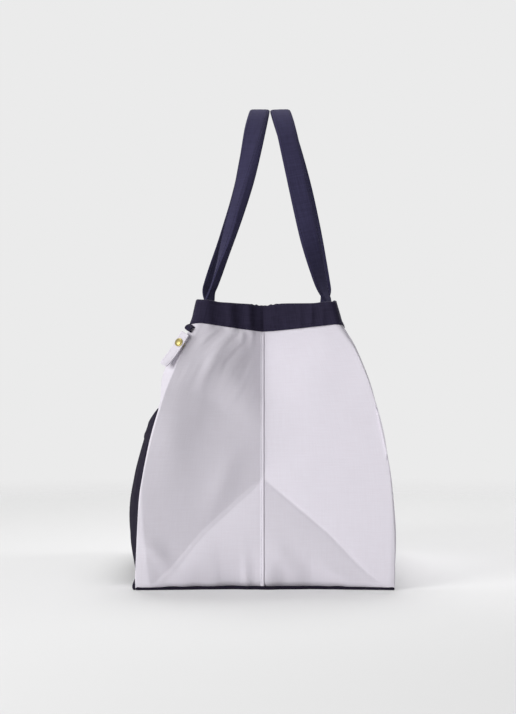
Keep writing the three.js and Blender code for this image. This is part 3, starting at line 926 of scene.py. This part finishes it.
# A strap's turn is evened out over these steps of its climb
TWIST_SPREAD = (-0.03, -0.015, 0.0, 0.015, 0.03)

# Shares of the climb over which a leg comes to stand in or out, and over which the near leg comes back
NEAR_START = (-0.04, 0.10)
NEAR_FADE = (0.25, 0.80)
FAR_START = (0.0, 0.10)


def handle_pivot(wall):
    """Where a strap's near leg bends over the rim."""
    station, end = face_place(wall, HANDLE_SPREAD / 2, RIM_HEIGHT)
    pivot = wall_point(wall, station, end, RIM_HEIGHT, -0.001, softness=0)
    pivot.z = RIM_HEIGHT + 0.0018
    return pivot


def strap_twist(wall, side, climb):
    """How far a leg of a strap has turned from lying along the rim, at a share of its way up."""
    turns = wall["near_twists"] if side > 0 else wall["far_twists"]
    total = sum(along_points(turns, climb + shift) for shift in TWIST_SPREAD)
    return math.radians(total / len(TWIST_SPREAD))


def leg_lean(wall, side, climb):
    """How far a leg of a strap stands out from the strap's even bow: the near leg in, the far leg out."""
    if side > 0:
        return -wall["near_in"] * between(climb, NEAR_START, NEAR_FADE)
    return wall["far_out"] * between(climb, FAR_START, wall["far_fade"])


def handle_leg(wall, side):
    """Points and twists up the middle of one leg of a strap: its sewn tail, then half the arch."""
    pivot = handle_pivot(wall)
    meeting = (handle_pivot(FRONT).y + handle_pivot(BACK).y) / 2 + STRAP_OFFSET
    top_depth = meeting + wall["facing"] * (STRAP_WIDTH / 2 + CLEARANCE)
    foot_depth = pivot.y - wall["facing"] * wall["strap_in"]
    leg = []
    for i in range(TAIL_STEPS):
        z = lerp(RIM_HEIGHT - STRAP_TAIL, RIM_HEIGHT - 0.002, i / (TAIL_STEPS - 1))
        station, _ = face_place(wall, HANDLE_SPREAD / 2, z)
        spot = wall_point(wall, station, 1, z, -TAIL_DEPTH)
        free = smoothstep(z, TAIL_SEWN, RIM_HEIGHT)
        y = lerp(spot.y, foot_depth + wall["facing"] * leg_lean(wall, side, 0), free)
        leg.append((Vector((side * HANDLE_SPREAD / 2, y, z)), free * strap_twist(wall, side, 0)))
    for i in range(1, ARCH_STEPS + 1):
        climb = i / ARCH_STEPS
        rise = clamp(math.sin(0.5 * math.pi * climb)) ** 1.3
        x = math.sqrt(max(0.0, 1 - rise ** 3)) * HANDLE_SPREAD / 2
        y = lerp(foot_depth, top_depth, rise ** wall["strap_bow"])
        y += wall["facing"] * leg_lean(wall, side, climb)
        leg.append((Vector((side * x, y, pivot.z + HANDLE_RISE * rise)), strap_twist(wall, side, climb)))
    return leg


def handle_route(wall):
    """Points and twists down the middle of a strap: up its near leg, over the arch and down its far leg."""
    return handle_leg(wall, 1) + handle_leg(wall, -1)[-2::-1]


def strap_frames(wall):
    """Stations down a strap: middle point, face normal and the direction across."""
    route = handle_route(wall)
    frames = []
    for index, (middle, twist) in enumerate(route):
        before = route[max(index - 1, 0)][0]
        after = route[min(index + 1, len(route) - 1)][0]
        tangent = (after - before).normalized()
        out_of_bag = Vector((0, wall["facing"], 0))
        out_of_bag = (out_of_bag - tangent * out_of_bag.dot(tangent)).normalized()
        out_of_loop = out_of_bag.cross(tangent) * wall["facing"]
        normal = (out_of_bag * math.cos(twist) + out_of_loop * math.sin(twist)).normalized()
        frames.append((middle, normal, tangent.cross(normal)))
    return frames


def strap_section():
    """Half of a strap's section from edge to edge: flat, with thicker folded edges, as (across, up)."""
    steps = 7
    half = STRAP_WIDTH / 2
    points = []
    for i in range(-steps, steps + 1):
        share = i / steps
        across = half * math.copysign(1 - (1 - abs(share)) ** 1.4, share)
        edge = math.sqrt(max(0.0, 1 - abs(across / half) ** 10))
        fold = 1 + 0.16 * smoothstep(abs(across), half - 0.0075, half - 0.0060)
        points.append((across, 0.43 * STRAP_THICKNESS * edge * fold))
    return points


def strap_point(frames, index, across, up, wall):
    """A point of a strap's surface, with a slight cup and waviness of the cloth."""
    middle, normal, side = frames[index]
    wave = STRAP_WAVE * noise.noise(Vector((middle.z * 26, across * 40, wall["facing"] * 3 + middle.x * 9)))
    cup = STRAP_CUP * (2 * across / STRAP_WIDTH) ** 2
    free = smoothstep(middle.z, RIM_HEIGHT, RIM_HEIGHT + 0.03)
    return middle + side * across + normal * (up + free * (wave - cup))


def strap_cloth(name, wall):
    """One strap with its two sewn tails, a flat tube of folded canvas closed at its ends."""
    frames = strap_frames(wall)
    half = strap_section()
    section = half + [(across, -up) for across, up in reversed(half[1:-1])]
    columns = len(section) + 1

    def place(column, row):
        across, up = section[column % len(section)]
        return strap_point(frames, row, across, up, wall)

    piece = cloth_grid(name, columns, len(frames), place)
    edit_all(WELD, (bpy.ops.mesh.fill_holes, {"sides": 0}), FACE_OUT)
    smooth(piece, 50)
    return piece


def strap_stitches(name, wall):
    """A row of stitching near each edge on both faces, and boxed rows on the sewn tails."""
    frames = strap_frames(wall)
    edge = STRAP_WIDTH / 2 - STRAP_MARGIN
    height = 0.49 * STRAP_THICKNESS

    def stitch_line(places, face):
        """A run over the stations and distances across that places gives, on one face."""
        line = []
        for index, across in places:
            point = strap_point(frames, index, across, face * height, wall)
            line.append((point, frames[index][1] * face))
        return line

    runs = []
    for face in (1, -1):
        for across in (-edge, edge):
            runs.append(stitch_line([(index, across) for index in range(1, len(frames) - 1)], face))
    for first, last in ((1, 8), (len(frames) - 9, len(frames) - 2)):
        for index in (first, last):
            runs.append(stitch_line([(index, lerp(-edge, edge, i / 6)) for i in range(7)], -1))
        steps = last - first
        for start in (-edge, edge):
            slant = [(first + i, lerp(start, -start, i / steps)) for i in range(steps + 1)]
            runs.append(stitch_line(slant, -1))
    return sew(name, runs)


# Snap tab


def tab_matrix():
    """The tab's frame on the pushed-out front corner: X along the wall, Y up it, Z out of it."""
    station, end = 1.5, 1
    top = KEEPER_RISE
    drop = KEEPER_HEIGHT + SNAP_DROP
    origin = wall_point(FRONT, station, end, top, 0, softness=0)
    origin.y += FRONT["facing"] * (corner_depth(FRONT, top, 1e-6) - corner_depth(FRONT, top))
    lower = wall_point(FRONT, station, end, top - drop, 0, softness=0)
    up = (origin - lower).normalized()
    out = level_normal(FRONT, station, end, top)
    out = (out - up * out.dot(up)).normalized()
    along = up.cross(out)
    matrix = Matrix((along, up, out)).transposed().to_4x4()
    matrix.translation = origin
    return matrix


TAB = tab_matrix()
STUD_FACE = CLEARANCE + SNAP_FLANGE
SOCKET_FOOT = STUD_FACE + CLEARANCE
SOCKET_TOP = SOCKET_FOOT + SNAP_SOCKET_HEIGHT
TAB_OUT = SOCKET_TOP + CLEARANCE + TAB_CLOTH / 2
TAB_TOP = -KEEPER_HEIGHT - CLEARANCE - TAB_CLOTH / 2 - TAB_HANG
SNAP_LEVEL = TAB_TOP - SNAP_DROP
SNAP = TAB @ Matrix.Translation((TAB_CENTRE, SNAP_LEVEL, 0))


def tab_point(across, drop):
    """A point of the tab's outer face in its own frame: flat under the snap, then flaring and curling."""
    flare_start = SNAP_DROP + SNAP_FLANGE_RADIUS
    free = clamp((drop - flare_start) / (TAB_LENGTH - flare_start))
    flare = TAB_FLARE * free ** 2
    round_end = 1 - 0.10 * smoothstep(drop, TAB_LENGTH - 0.004, TAB_LENGTH)
    curl = 0.0012 * free * (2 * across / TAB_WIDTH) ** 2
    return Vector((TAB_CENTRE + across * round_end, TAB_TOP - drop, TAB_OUT + flare - curl + TAB_CLOTH / 2))


def tab_cloth():
    columns, rows = 15, 40

    def place(column, row):
        across = lerp(-0.5, 0.5, column / (columns - 1)) * TAB_WIDTH
        drop = lerp(TAB_LENGTH, 0, row / (rows - 1))
        return tab_point(across, drop)

    return cloth_sheet("tab_cloth", columns, rows, place, TAB_CLOTH, edge=0.0006, matrix=TAB)


def tab_stitches():
    """One row of stitching down one side of the tab, across its end and up the other side."""
    margin = 0.0022
    steps = 24
    side = TAB_WIDTH / 2 - margin
    out = TAB.to_3x3() @ Vector((0, 0, 1))
    route = [(-side, i) for i in range(steps + 1)] + [(side, steps - i) for i in range(steps + 1)]
    run = []
    for across, step in route:
        drop = lerp(margin, TAB_LENGTH - margin, step / steps)
        run.append((TAB @ tab_point(across, drop), out))
    return sew("tab_stitches", [run], pitch=0.0032, length=0.0024, radius=0.00026)


def keeper_loop():
    """A loop of navy tape, folded double, that sticks out from under the rim tape."""
    path = [
        (0.0004, -0.0024), (0.0034, -0.0038), (0.0056, -0.0056), (0.0066, -0.0076), (0.0064, -0.0092),
        (0.0052, -0.0103), (0.0030, -0.0107), (0.0005, -0.0109),
    ]
    columns, rows = 10, 36
    outs = [(i, out) for i, (out, _) in enumerate(path)]
    ups = [(i, up) for i, (_, up) in enumerate(path)]

    def place(column, row):
        along = row / (rows - 1) * (len(path) - 1)
        across = lerp(KEEPER_RIGHT, KEEPER_LEFT, column / (columns - 1))
        return Vector((across, along_points(ups, along), along_points(outs, along)))

    return cloth_sheet("keeper_loop", columns, rows, place, KEEPER_CLOTH, edge=0.0003, relax=6, matrix=TAB)


def snap_dome():
    """The snap's brass cap: a pressed dome with a rolled edge and a shallow ring round its crown."""
    foot = TAB_OUT + TAB_CLOTH / 2 + 0.0001
    radius, height = SNAP_CAP_RADIUS, SNAP_CAP_HEIGHT
    profile = [(0.0, foot), (radius * 0.92, foot), (radius * 0.985, foot + height * 0.08)]
    profile += [(radius, foot + height * 0.20), (radius * 0.985, foot + height * 0.33)]
    profile += [(radius * 0.94, foot + height * 0.40), (radius * 0.88, foot + height * 0.42)]
    for i in range(1, 9):
        turn = 0.5 * math.pi * i / 8
        profile.append((radius * 0.84 * math.cos(turn), foot + height * (0.46 + 0.54 * math.sin(turn))))
    profile[-1] = (0.0, foot + height)
    return spun("snap_dome", profile, SNAP)


def snap_ring():
    """The snap's socket under the tab: a ring with a rounded lip and a stepped bore."""
    bore = SNAP_KNOB_RADIUS + SNAP_PLAY
    outer = SNAP_FLANGE_RADIUS
    profile = [
        (bore, SOCKET_FOOT + 0.0004), (bore + 0.0004, SOCKET_FOOT), (outer - 0.0016, SOCKET_FOOT),
        (outer - 0.0012, SOCKET_FOOT + 0.0005), (outer - 0.0010, SOCKET_FOOT + 0.0012),
        (outer - 0.0002, SOCKET_FOOT + 0.0016), (outer, SOCKET_FOOT + 0.0020), (outer, SOCKET_TOP),
        (bore, SOCKET_TOP), (bore, SOCKET_FOOT + 0.0004),
    ]
    return spun("snap_ring", profile, SNAP)


def snap_post():
    """The stud on the panel: a flange with a rounded rim and a necked knob."""
    tip = STUD_FACE + SNAP_KNOB_HEIGHT
    knob = SNAP_KNOB_RADIUS
    profile = [
        (0.0, CLEARANCE), (SNAP_FLANGE_RADIUS - 0.0003, CLEARANCE),
        (SNAP_FLANGE_RADIUS, CLEARANCE + SNAP_FLANGE / 2), (SNAP_FLANGE_RADIUS - 0.0003, STUD_FACE),
        (knob + 0.0006, STUD_FACE), (knob * 0.82, STUD_FACE + 0.0003), (knob * 0.82, STUD_FACE + 0.0008),
        (knob, STUD_FACE + 0.0013), (knob * 0.95, tip - 0.0004), (knob * 0.7, tip - 0.0001), (0.0, tip),
    ]
    return spun("snap_post", profile, SNAP)


def snap_washer():
    """The washer behind the stud, inside the bag, with rolled edges."""
    inverse = SNAP.inverted()
    heights = [(inverse @ vertex.co).z for vertex in bpy.data.objects["snap_backing"].data.vertices]
    low, high = min(heights), max(heights)
    middle = (low + high) / 2
    radius = SNAP_FLANGE_RADIUS
    profile = [
        (0.0, low), (radius - 0.0003, low), (radius, middle), (radius - 0.0003, high), (0.0, high),
    ]
    return spun("snap_washer", profile, SNAP)


# Finishes

# A wave texture's band repeats every pi / 10 of its own units
WAVE_PERIOD = math.pi / 10


def linear(hex_colour):
    """An sRGB hex colour as linear red, green, blue and alpha."""
    values = [int(hex_colour[i:i + 2], 16) / 255 for i in (1, 3, 5)]
    return tuple(v / 12.92 if v <= 0.04045 else ((v + 0.055) / 1.055) ** 2.4 for v in values) + (1.0,)


def node(owner, kind, feeds=None, **settings):
    """Adds a node to a material or world, with its settings, and fills or links its inputs."""
    made = owner.node_tree.nodes.new("ShaderNode" + kind)
    for name, value in settings.items():
        setattr(made, name, value)
    for socket, value in (feeds or {}).items():
        if isinstance(value, bpy.types.NodeSocket):
            owner.node_tree.links.new(value, made.inputs[socket])
        else:
            made.inputs[socket].default_value = value
    return made


def new_finish(name):
    finish = bpy.data.materials.new(name)
    finish.use_nodes = True
    finish.node_tree.nodes.clear()
    return finish


def close_finish(finish, feeds):
    """Ends a finish: the surface shader with its inputs, and the output."""
    shader = node(finish, "BsdfPrincipled", feeds)
    node(finish, "OutputMaterial", {"Surface": shader.outputs["BSDF"]})
    return finish


def tones(finish, source, dark, light, low=0.3, high=0.7):
    """A colour that runs from dark to light as a source value goes from low to high."""
    ramp = node(finish, "ValToRGB", {"Fac": source})
    ramp.color_ramp.elements[0].position = low
    ramp.color_ramp.elements[0].color = linear(dark)
    ramp.color_ramp.elements[1].position = high
    ramp.color_ramp.elements[1].color = linear(light)
    return ramp.outputs["Color"]


def plain_weave(finish, uv, pitch):
    """Height of a plain weave: warp and weft threads, one over and one under, a pitch apart."""
    bands = {"Vector": uv, "Scale": WAVE_PERIOD / (2 * pitch)}
    warp = node(finish, "TexWave", bands, bands_direction="X")
    weft = node(finish, "TexWave", bands, bands_direction="Y")
    crossing = node(finish, "TexChecker", {"Vector": uv, "Scale": 1 / pitch})
    weave = node(
        finish, "Mix",
        {"Factor": crossing.outputs["Fac"], "A": warp.outputs["Fac"], "B": weft.outputs["Fac"]},
    )
    return weave.outputs["Result"]


def slubs(finish, uv, thread_width, thread_length):
    """Thick and thin stretches of yarn, along the warp and along the weft."""
    fine, long = 1 / thread_width, 1 / thread_length
    streaks = []
    for scale in ((fine, long, 1), (long, fine, 1)):
        turned = node(finish, "Mapping", {"Vector": uv, "Scale": scale})
        streak = node(finish, "TexNoise", {"Vector": turned.outputs["Vector"], "Scale": 1.0, "Detail": 1.0})
        streaks.append(streak.outputs["Fac"])
    both = node(finish, "Math", {0: streaks[0], 1: streaks[1]}, operation="ADD")
    return node(finish, "Math", {0: both.outputs["Value"], 1: 0.5}, operation="MULTIPLY").outputs["Value"]


def slanting_ribs(finish, uv, pitch):
    """Height of a twill: fine slanting ribs, a pitch apart."""
    slant = node(finish, "Mapping", {"Vector": uv, "Rotation": (0, 0, math.radians(35))})
    ribs = node(finish, "TexWave", {"Vector": slant.outputs["Vector"], "Scale": WAVE_PERIOD / pitch})
    return ribs.outputs["Fac"]


# The two kinds of cloth: the weave and its pitch, the width and length of an uneven stretch of yarn, how
# its tones spread, the range of its roughness and that of its bloom. The canvas has threads about
# 0.6 mm apart: they are drawn 0.9 mm apart so that they show
CANVAS = {
    "weave": plain_weave, "pitch": 0.0009, "yarn": (0.0016, 0.030), "spread": (0.30, 0.70),
    "rough": (0.82, 0.96), "bloom": 0.45,
}
TWILL = {
    "weave": slanting_ribs, "pitch": 0.0012, "yarn": (0.0014, 0.022), "spread": (0.36, 0.64),
    "rough": (0.66, 0.84), "bloom": 0.4,
}


def woven_cotton(name, kind, dark, light, sheen, relief, shine):
    """Woven cotton: matt, with a fine grain of threads, uneven yarn and a soft bloom."""
    finish = new_finish(name)
    uv = node(finish, "UVMap").outputs["UV"]
    weave = kind["weave"](finish, uv, kind["pitch"])
    yarn = slubs(finish, uv, *kind["yarn"])
    colour = tones(finish, yarn, dark, light, *kind["spread"])
    least, most = kind["rough"]
    rough = node(finish, "MapRange", {"Value": yarn, "To Min": least, "To Max": most})
    height = node(finish, "Math", {0: weave, 1: yarn}, operation="ADD").outputs["Value"]
    bump = node(finish, "Bump", {"Height": height, "Strength": relief, "Distance": kind["pitch"] * 0.3})
    return close_finish(finish, {
        "Base Color": colour,
        "Roughness": rough.outputs["Result"],
        "Normal": bump.outputs["Normal"],
        "Sheen Weight": sheen,
        "Sheen Roughness": kind["bloom"],
        "Specular IOR Level": shine,
    })


def grain(finish, scale, detail, relief):
    """A fine grain in a piece's own space, as its value and the normal that it makes."""
    place = node(finish, "TexCoord").outputs["Object"]
    value = node(finish, "TexNoise", {"Vector": place, "Scale": scale, "Detail": detail}).outputs["Fac"]
    bump = node(finish, "Bump", {"Height": value, "Strength": relief, "Distance": 0.0002})
    return value, bump.outputs["Normal"]


def sewing_thread(name, dark, light):
    """Spun polyester thread: two plies twisted together, with a soft shine."""
    finish = new_finish(name)
    ply, normal = grain(finish, 1600.0, 1.0, 0.4)
    return close_finish(finish, {
        "Base Color": tones(finish, ply, dark, light),
        "Roughness": 0.55,
        "Normal": normal,
        "Sheen Weight": 0.02,
        "Specular IOR Level": 0.12,
    })


def pressed_brass(name, dark, light):
    """Pressed and polished brass: a warm yellow metal with fine rubbing marks."""
    finish = new_finish(name)
    marks, normal = grain(finish, 900.0, 3.0, 0.08)
    rough = node(finish, "MapRange", {"Value": marks, "To Min": 0.34, "To Max": 0.50})
    return close_finish(finish, {
        "Base Color": tones(finish, marks, dark, light),
        "Metallic": 1.0,
        "Roughness": rough.outputs["Result"],
        "Normal": normal,
    })


PALE_CANVAS = woven_cotton("pale_cotton_canvas", CANVAS, "#DED9E2", "#E2DEE7", 0.0, 0.07, 0.25)
NAVY_CANVAS = woven_cotton("navy_cotton_canvas", CANVAS, "#1F1B29", "#272331", 0.0, 0.25, 0.05)
NAVY_STRAP = woven_cotton("navy_folded_canvas", CANVAS, "#34314A", "#403D5A", 0.02, 0.25, 0.08)
NAVY_TAPE = woven_cotton("navy_twill_tape", TWILL, "#252133", "#2E2A3E", 0.02, 0.35, 0.08)
PALE_THREAD = sewing_thread("pale_sewing_thread", "#D8D5DE", "#E4E1E9")
NAVY_THREAD = sewing_thread("navy_sewing_thread", "#262436", "#343149")
BRASS = pressed_brass("pressed_brass", "#8F8352", "#A39764")


# Putting the pieces together


def dress(piece, finish, body=None, nodes=()):
    """Gives a piece its finish and slot, sets it on its body and lets it stand for its CAD nodes."""
    piece.data.materials.clear()
    piece.data.materials.append(finish)
    if body:
        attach(piece, body)
    if nodes:
        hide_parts(*nodes)
    return piece


WALLS = {"front": FRONT, "back": BACK}

for side, wall in WALLS.items():
    panel = dress(panel_cloth(f"{side}_cloth", wall), PALE_CANVAS, "bag", [f"{side}_panel"])
    tape = dress(rim_tape(f"{side}_rim_tape", wall), NAVY_TAPE, "bag", [f"{side}_binding"])
    threads = dress(tape_stitches(f"{side}_tape_stitches", wall), NAVY_THREAD, "bag")

dress(base_cloth(), NAVY_CANVAS, "bag", ["base_panel"])
for name, end in {"right": 1, "left": -1}.items():
    dress(base_tuck(f"{name}_base_tuck", end), NAVY_CANVAS, "bag")
    dress(side_seam(f"{name}_seam_lip", end), PALE_CANVAS, "bag", [f"{name}_side_seam"])
    dress(seam_stitches(f"{name}_seam_stitches", end), PALE_THREAD, "bag")
pocket = dress(pocket_cloth(), NAVY_CANVAS, "bag", ["front_pocket"])
threads = dress(pocket_stitches(), NAVY_THREAD, "bag")

for side, wall in WALLS.items():
    strap = strap_cloth(f"{side}_strap", wall)
    sewn = [f"{side}_handle_right_end", f"{side}_handle_left_end"]
    dress(strap, NAVY_STRAP, nodes=[f"{side}_handle", *sewn])
    threads = dress(strap_stitches(f"{side}_strap_stitches", wall), NAVY_THREAD)
    depth = handle_pivot(wall).y
    for piece in (strap, threads):
        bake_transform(piece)

dress(keeper_loop(), NAVY_TAPE, "bag", ["tab_keeper"])
dress(tab_cloth(), PALE_CANVAS, "tab", ["snap_tab"])
dress(tab_stitches(), PALE_THREAD, "tab")
dress(snap_dome(), BRASS, "tab", ["snap_cap"])
dress(snap_ring(), BRASS, "tab", ["snap_socket"])
dress(snap_post(), BRASS, "bag", ["snap_stud"])
dress(snap_washer(), BRASS, "bag", ["snap_backing"])


# Studio

BACKDROP = "#EBEBEB"
FLOOR_SIZE = 12.0
FLOOR_FADE_START = 0.45
FLOOR_FADE_END = 1.9
FLOOR_CLEAR = 0.15
AMBIENT = 0.02
CAMERA_LENS = 96.45
CAMERA_PLACE = (2.42, -0.006, 0.268)
# The soft lights: place, aim, size in metres and power in watts
LIGHTS = {
    "key": ((1.9, -1.65, 0.62), (0.1, 0.0, 0.15), 1.4, 52),
    "behind": ((-0.9, 0.0, 2.2), (0.1, 0.0, 0.18), 1.4, 30),
    "overhead": ((0.2, 0.0, 2.4), (0.1, 0.0, 0.18), 1.8, 13),
    "side": ((-0.8, 2.1, 0.5), (0.1, 0.0, 0.18), 1.2, 22),
}


def studio_floor():
    """A pale floor that keeps the shadow near the bag and gives way to the backdrop further off."""
    start_piece()
    bpy.ops.mesh.primitive_plane_add(size=FLOOR_SIZE)
    floor = bpy.context.object
    floor.name = "studio_floor"
    finish = new_finish("pale_floor")
    place = node(finish, "TexCoord").outputs["Object"]
    reach = node(finish, "VectorMath", {0: place}, operation="LENGTH").outputs["Value"]
    fade = node(
        finish, "MapRange",
        {"Value": reach, "From Min": FLOOR_FADE_START, "From Max": FLOOR_FADE_END, "To Min": FLOOR_CLEAR},
        interpolation_type="SMOOTHSTEP",
    )
    near = node(finish, "BsdfDiffuse", {"Color": linear("#FAFAFA")})
    far = node(finish, "BsdfTransparent")
    surface = node(
        finish, "MixShader",
        {0: fade.outputs["Result"], 1: near.outputs["BSDF"], 2: far.outputs["BSDF"]},
    )
    node(finish, "OutputMaterial", {"Surface": surface.outputs["Shader"]})
    floor.data.materials.append(finish)


def studio_world(strength):
    """Even soft light all round, with a plain pale backdrop for the camera and for reflections."""
    world = bpy.data.worlds.new("studio")
    bpy.context.scene.world = world
    world.use_nodes = True
    world.node_tree.nodes.clear()
    light = node(world, "Background", {"Color": (1, 1, 1, 1), "Strength": strength})
    backdrop = node(world, "Background", {"Color": linear(BACKDROP), "Strength": 1.0})
    path = node(world, "LightPath")
    seen = path.outputs["Is Camera Ray"]
    for kind in ("Is Glossy Ray", "Is Transmission Ray"):
        seen = node(world, "Math", {0: seen, 1: path.outputs[kind]}, operation="MAXIMUM").outputs["Value"]
    mixed = node(
        world, "MixShader",
        {0: seen, 1: light.outputs["Background"], 2: backdrop.outputs["Background"]},
    )
    node(world, "OutputWorld", {"Surface": mixed.outputs["Shader"]})


def soft_box(name, place, aim, size, power):
    """A square soft light at a place, turned to an aim."""
    lamp = bpy.data.lights.new(name, "AREA")
    lamp.size = size
    lamp.energy = power
    box = bpy.data.objects.new(name, lamp)
    box.location = place
    box.rotation_euler = (Vector(aim) - Vector(place)).to_track_quat("-Z", "Y").to_euler()
    bpy.context.scene.collection.objects.link(box)


def photo_camera():
    """A level camera off the right-hand end of the bag, as in the photograph."""
    data = bpy.data.cameras.new("photo_camera")
    data.sensor_fit = "VERTICAL"
    data.sensor_height = 36.0
    data.lens = CAMERA_LENS
    camera = bpy.data.objects.new("photo_camera", data)
    camera.location = CAMERA_PLACE
    camera.rotation_euler = (math.radians(90), 0, math.radians(90))
    bpy.context.scene.collection.objects.link(camera)
    bpy.context.scene.camera = camera


studio_floor()
studio_world(AMBIENT)
for name, setting in LIGHTS.items():
    soft_box(name, *setting)
photo_camera()
bpy.context.scene.view_settings.view_transform = "Standard"
